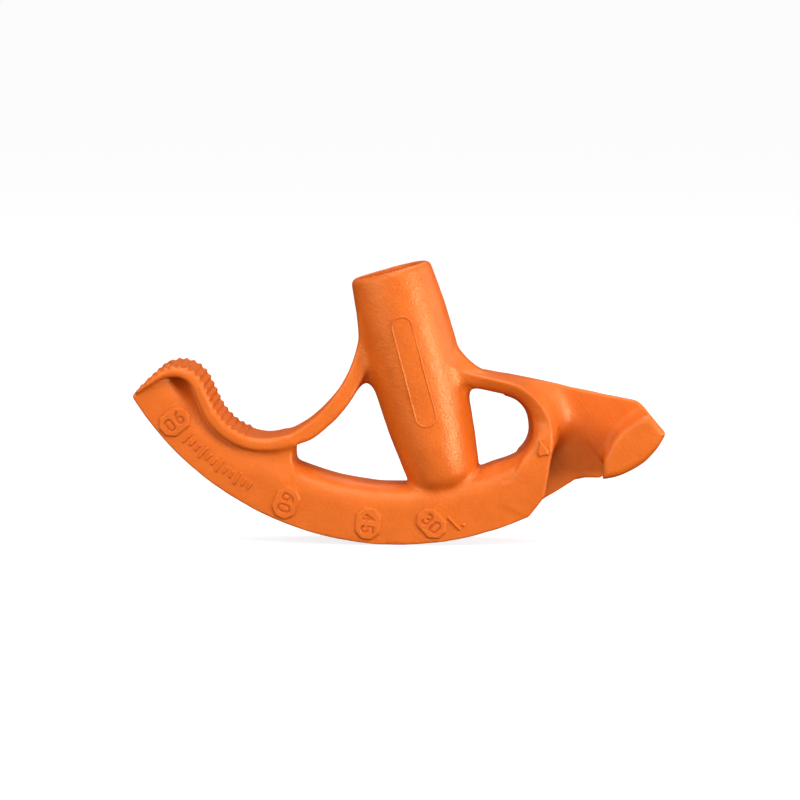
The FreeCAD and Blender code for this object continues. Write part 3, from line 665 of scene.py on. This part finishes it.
def mesh_piece(name, points, quads):
    """A painted object from points in the field's own millimetres, set in the part's frame."""
    mesh = bpy.data.meshes.new(name)
    placed = (np.asarray(points) * MM + np.array(centre)).astype(np.float32)
    mesh.vertices.add(len(placed))
    mesh.vertices.foreach_set("co", placed.ravel())
    mesh.loops.add(len(quads) * 4)
    mesh.loops.foreach_set("vertex_index", quads.astype(np.int32).ravel())
    mesh.polygons.add(len(quads))
    mesh.polygons.foreach_set("loop_start", np.arange(0, len(quads) * 4, 4, dtype=np.int32))
    mesh.update(calc_edges=True)
    mesh.validate()
    mesh.shade_smooth()
    mesh.materials.append(paint)
    piece = bpy.data.objects.new(name, mesh)
    bpy.context.scene.collection.objects.link(piece)
    return piece


def thin_out(piece, triangles):
    """Collapse edges down to this many triangles."""
    count = len(piece.data.polygons) * 2
    if count <= triangles:
        return
    modifier = piece.modifiers.new("thin", "DECIMATE")
    modifier.ratio = triangles / count
    evaluated = piece.evaluated_get(bpy.context.evaluated_depsgraph_get())
    thinner = bpy.data.meshes.new_from_object(evaluated)
    piece.modifiers.clear()
    old = piece.data
    piece.data = thinner
    piece.data.name = piece.name
    bpy.data.meshes.remove(old)
    piece.data.shade_smooth()


# ---------------------------------------------------------------- materials
def node(tree, kind, **values):
    """A new node, each value given to the input of that name, or else to the node's own setting."""
    made = tree.nodes.new(kind)
    for key, value in values.items():
        if key in made.inputs:
            made.inputs[key].default_value = value
        else:
            setattr(made, key, value)
    return made


def ramp(tree, source, stops):
    """A colour ramp over this value; each stop is a place and a colour."""
    made = tree.nodes.new("ShaderNodeValToRGB")
    tree.links.new(source, made.inputs["Fac"])
    for element, (place, colour) in zip(made.color_ramp.elements, stops):
        element.position = place
        element.color = (*colour, 1)
    return made.outputs["Color"]


def painted_casting():
    """Satin orange paint over a cast surface: uneven colour, a fine peel, and a coarser pebble below it."""
    material = bpy.data.materials.new("orange_paint")
    material.use_nodes = True
    tree = material.node_tree
    tree.nodes.clear()
    out = node(tree, "ShaderNodeOutputMaterial")
    coat = node(tree, "ShaderNodeBsdfPrincipled", IOR=PAINT_IOR)
    tree.links.new(coat.outputs["BSDF"], out.inputs["Surface"])
    where = node(tree, "ShaderNodeTexCoord").outputs["Object"]

    def noise(scale, detail):
        made = node(tree, "ShaderNodeTexNoise", Scale=scale, Detail=detail, Roughness=0.5)
        tree.links.new(where, made.inputs["Vector"])
        return made.outputs["Fac"]

    tree.links.new(ramp(tree, noise(BLOTCHES, 3.0), PAINT_COLOURS), coat.inputs["Base Color"])
    tree.links.new(ramp(tree, noise(SMEARS, 3.0), PAINT_ROUGHNESS), coat.inputs["Roughness"])
    coat.inputs["Specular IOR Level"].default_value = PAINT_SPECULAR
    coat.inputs["Specular Tint"].default_value = PAINT_SHEEN

    pebble = node(tree, "ShaderNodeBump", Strength=0.7, Distance=0.0003)
    tree.links.new(noise(PEBBLES, 2.0), pebble.inputs["Height"])
    peel = node(tree, "ShaderNodeBump", Strength=0.5, Distance=0.00016)
    tree.links.new(noise(PEEL, 2.0), peel.inputs["Height"])
    tree.links.new(pebble.outputs["Normal"], peel.inputs["Normal"])
    tree.links.new(peel.outputs["Normal"], coat.inputs["Normal"])
    return material


# ---------------------------------------------------------------- raised marks on the near face
def numeral(digit):
    """A plain numeral as lines about its own middle."""
    half, bowl, top = DIGIT_BOWL, DIGIT_BOWL_AT, DIGIT_TOP
    if digit == "0":
        return [arc((0, bowl), half, 0, 180, ROUND_STEP) + arc((0, -bowl), half, 180, 360, ROUND_STEP)
                + [(half, bowl)]]
    if digit == "3":
        return [arc((0, 1.25), 1.3, 150, -90, ROUND_STEP), arc((0, -1.2), 1.35, 90, -150, ROUND_STEP)]
    if digit == "4":
        return [[(0.6, -top), (0.6, top), (-half, -0.9), (half, -0.9)]]
    if digit == "5":
        return [[(1.2, top), (-1.0, top), (-1.15, 0.0)] + arc((0, -bowl), half, 140, -150, ROUND_STEP)]
    six = [arc((0, -bowl), half, 0, 360, ROUND_STEP), [(0.9, top), (-0.4, 1.95), (-1.2, 0.6), (-half, -bowl)]]
    if digit == "6":
        return six
    return [[(-u, -v) for u, v in line] for line in six]


def raised(grid, plan, height):
    """A raised mark with sloping sides, its root sunk into the near face, and the height above that face."""
    above = -grid.y - HALF
    body = smooth_max(plan + MARK_SLOPE * np.maximum(above, 0), above - height, MARK_EDGE)
    return np.maximum(body, -above - MARK_ROOT), above


def on_near_face(points, origin, direction):
    """Points of a mark's own frame, turned to this direction and set down at this place on the near face."""
    angle = math.radians(direction)
    x = origin[0] + points[:, 0] * math.cos(angle) - points[:, 2] * math.sin(angle)
    z = origin[1] + points[:, 0] * math.sin(angle) + points[:, 2] * math.cos(angle)
    return np.stack([x, points[:, 1], z], 1)


def mark_grid(half_length, half_width):
    """The grid of a mark in its own frame, from above the near face to below it."""
    low = (-half_length, -HALF - MARK_ABOVE, -half_width)
    return Grid(low, (half_length, -HALF + MARK_BELOW, half_width), MARK_GRID)


def degree_pad(degrees, place, turn):
    """A bevelled octagon with the bend's angle engraved, read outwards from the rim."""
    grid = mark_grid(PAD_LENGTH / 2 + MARK_SPACE, PAD_WIDTH / 2 + MARK_SPACE)
    a, b = PAD_LENGTH / 2 - PAD_ROUND, PAD_WIDTH / 2 - PAD_ROUND
    c = PAD_CORNER - PAD_ROUND * (2 - math.sqrt(2))
    plan = polygon(grid.x, grid.z, [(a, c - b), (a, b - c), (a - c, b), (c - a, b),
                                    (-a, b - c), (-a, c - b), (c - a, -b), (a - c, -b)])
    body, above = raised(grid, plan - PAD_ROUND, MARK_HEIGHT)
    lines = []
    for digit, middle in zip(str(degrees), DIGIT_PLACES):
        lines += [[(u + middle, v) for u, v in line] for line in numeral(digit)]
    cut = np.maximum(stroke(grid.x, grid.z, lines) - DIGIT_LINE, MARK_HEIGHT - DIGIT_DEPTH - above)
    points, quads = surface_net(smooth_max(body, -cut, DIGIT_EDGE), grid)
    points = on_near_face(points, polar(PAD_MIDDLE, place), -90 + place + turn)
    name = f"degree_mark_{degrees}"
    piece = mesh_piece(name, points, quads)
    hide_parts(f"degree_pad_{degrees}")
    return piece


def face_mark(name, outlines, origin, direction, room):
    """Raised marks from closed outlines in their own frame, on a grid with this much room each way."""
    grid = mark_grid(*room)
    plan = polygon(grid.x, grid.z, outlines[0])
    for outline in outlines[1:]:
        plan = np.minimum(plan, polygon(grid.x, grid.z, outline))
    body, _ = raised(grid, plan, MARK_HEIGHT)
    points, quads = surface_net(body, grid)
    return mesh_piece(name, on_near_face(points, origin, direction), quads)


def tick_row():
    """Plain raised strokes along the shoe, the first of every three longer."""
    grid = Grid(TICKS_LOW, TICKS_HIGH, MARK_GRID)
    plan = None
    for index in range(TICKS):
        turn = math.radians(TICK_START + index * TICK_STEP)
        half = TICK_LENGTH / 2 * (1.0 if index % LONG_TICK_EVERY == 0 else SHORT_TICK)
        across = np.abs(grid.turn - turn) * grid.radius - TICK_WIDTH / 2
        bar = np.maximum(across, np.abs(grid.radius - TICK_MIDDLE) - half)
        plan = bar if plan is None else np.minimum(plan, bar)
    body, _ = raised(grid, plan, TICK_HEIGHT)
    points, quads = surface_net(body, grid)
    return mesh_piece("tick_row", points, quads)


# ---------------------------------------------------------------- nameplate and thread on the socket
def on_barrel(depth, turn, out):
    """Points by their depth down the socket, turn round it from the near side, and radius."""
    x = SOCKET_MOUTH[0] + depth * axis_down[0] - out * np.sin(turn) * axis_down[1]
    z = SOCKET_MOUTH[1] + depth * axis_down[1] + out * np.sin(turn) * axis_down[0]
    return np.stack([x, -out * np.cos(turn), z], 1)


def nameplate():
    """The raised border of a blank nameplate down the near side of the socket."""
    half_length, half_width = PLATE_LENGTH / 2, PLATE_WIDTH / 2
    grid = Grid((PLATE_DEPTH - half_length - PLATE_SPACE, -PLATE_BELOW, -half_width - PLATE_SPACE),
                (PLATE_DEPTH + half_length + PLATE_SPACE, PLATE_ABOVE, half_width + PLATE_SPACE), MARK_GRID)
    past_straight = np.maximum(np.abs(grid.x - PLATE_DEPTH) - (half_length - half_width), 0)
    border = np.abs(np.hypot(past_straight, grid.z) - half_width) - PLATE_LINE / 2
    body = smooth_max(border + PLATE_SLOPE * np.maximum(grid.y, 0), grid.y - PLATE_HEIGHT, PLATE_EDGE)
    points, quads = surface_net(np.maximum(body, -grid.y - PLATE_ROOT), grid)
    depth, above, across = points.T
    surface = barrel_radius(depth)
    points = on_barrel(depth, across / surface, surface / flattening(depth) + above)
    return mesh_piece("nameplate_border", points, quads)


def pipe_thread():
    """The socket's internal thread: a threaded bore in a closed sleeve let into the socket's wall."""
    turns = np.arange(THREAD_SIDES) * 2 * math.pi / THREAD_SIDES
    start, end = THREAD_START, THREAD_DEPTH - THREAD_STOP
    rings = []
    for depth in np.linspace(start, end, int((end - start) / THREAD_PITCH * ROWS_PER_TURN)):
        phase = (depth / THREAD_PITCH + turns / (2 * math.pi)) % 1.0
        flank = np.clip(np.abs(2 * phase - 1) * THREAD_FLANK - (THREAD_FLANK - 1) / 2, 0, 1)
        fade = smooth_step(depth, start, start + THREAD_PITCH)
        rings.append((depth, THREAD_RADIUS + THREAD_HEIGHT * (1 - fade * flank)))
    rings += [(depth, np.full(THREAD_SIDES, SLEEVE_RADIUS)) for depth in (end, start)]
    points = np.concatenate([on_barrel(np.full(THREAD_SIDES, depth), turns, out) for depth, out in rings])
    ring, side = (v.ravel() for v in np.indices((len(rings), THREAD_SIDES)))
    here, there = ring * THREAD_SIDES, (ring + 1) % len(rings) * THREAD_SIDES
    beside = (side + 1) % THREAD_SIDES
    quads = np.stack([here + side, here + beside, there + beside, there + side], 1)
    return mesh_piece("pipe_thread", points, quads)


# ---------------------------------------------------------------- make the pieces
shoe_low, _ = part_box("near_lip")
centre = (CENTRE_X * MM, 0.0, shoe_low.z + LIP * MM)
paint = painted_casting()

casting_grid = Grid(CASTING_LOW, CASTING_HIGH, GRID)
casting = mesh_piece("casting", *surface_net(casting_field(casting_grid), casting_grid))
thin_out(casting, TRIANGLES)
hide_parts("handle_socket", "bending_shoe", "heel_block", "near_lip", "far_lip", "foot_pedal",
            "tread_ridges", "rear_brace", "front_brace", "front_post", "far_cheek", "hook_seat", "hook_finger")
pieces = [casting, pipe_thread(), nameplate(), tick_row()]
pieces += [degree_pad(*pad) for pad in PADS]

arrow = face_mark("start_mark", [ARROW], ARROW_PLACE, ARROW_TURN, ARROW_ROOM)
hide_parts("start_arrow")
bar_dot = arc(BAR_DOT, BAR_DOT_RADIUS, 0, 360 - ROUND_STEP, ROUND_STEP)
bar = face_mark("centre_mark", [BAR, bar_dot], BAR_PLACE, BAR_TURN, BAR_ROOM)
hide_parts("centre_bar")
for piece in pieces + [arrow, bar]:
    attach(piece, "root")

# ---------------------------------------------------------------- floor and sky
floor_mesh = bpy.data.meshes.new("floor")
corners = [(-FLOOR_HALF, -FLOOR_HALF, 0), (FLOOR_HALF, -FLOOR_HALF, 0),
           (FLOOR_HALF, FLOOR_HALF, 0), (-FLOOR_HALF, FLOOR_HALF, 0)]
floor_mesh.from_pydata(corners, [], [(0, 1, 2, 3)])
floor = bpy.data.objects.new("floor", floor_mesh)
bpy.context.scene.collection.objects.link(floor)
floor.location.z = -FLOOR_DROP
floor.visible_diffuse = False
floor.visible_glossy = False
pale = bpy.data.materials.new("pale_floor")
pale.use_nodes = True
pale_shader = pale.node_tree.nodes["Principled BSDF"]
pale_shader.inputs["Base Color"].default_value = FLOOR_COLOUR
pale_shader.inputs["Emission Color"].default_value = (1, 1, 1, 1)
pale_shader.inputs["Emission Strength"].default_value = FLOOR_GLOW
pale_shader.inputs["Roughness"].default_value = FLOOR_ROUGHNESS
floor_mesh.materials.append(pale)

world = bpy.data.worlds.new("studio")
bpy.context.scene.world = world
world.use_nodes = True
sky = world.node_tree
towards_bright = node(sky, "ShaderNodeVectorMath", operation="DOT_PRODUCT")
towards_bright.inputs[1].default_value = SKY_BRIGHT
sky.links.new(node(sky, "ShaderNodeTexCoord").outputs["Generated"], towards_bright.inputs[0])
height = node(sky, "ShaderNodeMath", operation="ADD")
height.inputs[1].default_value = 0.5
sky.links.new(towards_bright.outputs["Value"], height.inputs[0])
background = sky.nodes["Background"]
sky.links.new(ramp(sky, height.outputs["Value"], SKY), background.inputs["Color"])
background.inputs["Strength"].default_value = 1.0


# ---------------------------------------------------------------- lights and camera
def unit_vector(azimuth, elevation):
    """A unit vector towards this azimuth and elevation, in degrees."""
    a, e = math.radians(azimuth), math.radians(elevation)
    return Vector((math.sin(a) * math.cos(e), -math.cos(a) * math.cos(e), math.sin(e)))


middle = (cad_box[0] + cad_box[1]) / 2 + Vector((0, 0, AIM_RISE))


def add_facing(name, data, azimuth, elevation, distance):
    """A light or camera this far from the part's middle, turned to face it."""
    made = bpy.data.objects.new(name, data)
    back = unit_vector(azimuth, elevation)
    made.location = middle + back * distance
    made.rotation_euler = back.to_track_quat("Z", "Y").to_euler()
    bpy.context.scene.collection.objects.link(made)
    return made


for name, azimuth, elevation, size, power in LIGHTS:
    light = bpy.data.lights.new(name, "AREA")
    light.shape = "DISK"
    light.size = size
    light.energy = power
    add_facing(name, light, azimuth, elevation, LIGHT_DISTANCE)

camera_data = bpy.data.cameras.new("camera")
camera_data.lens = FOCAL_LENGTH
camera_data.sensor_width = SENSOR_WIDTH
bpy.context.scene.camera = add_facing("camera", camera_data, AZIMUTH, ELEVATION, CAMERA_DISTANCE)
bpy.context.scene.view_settings.view_transform = "Standard"
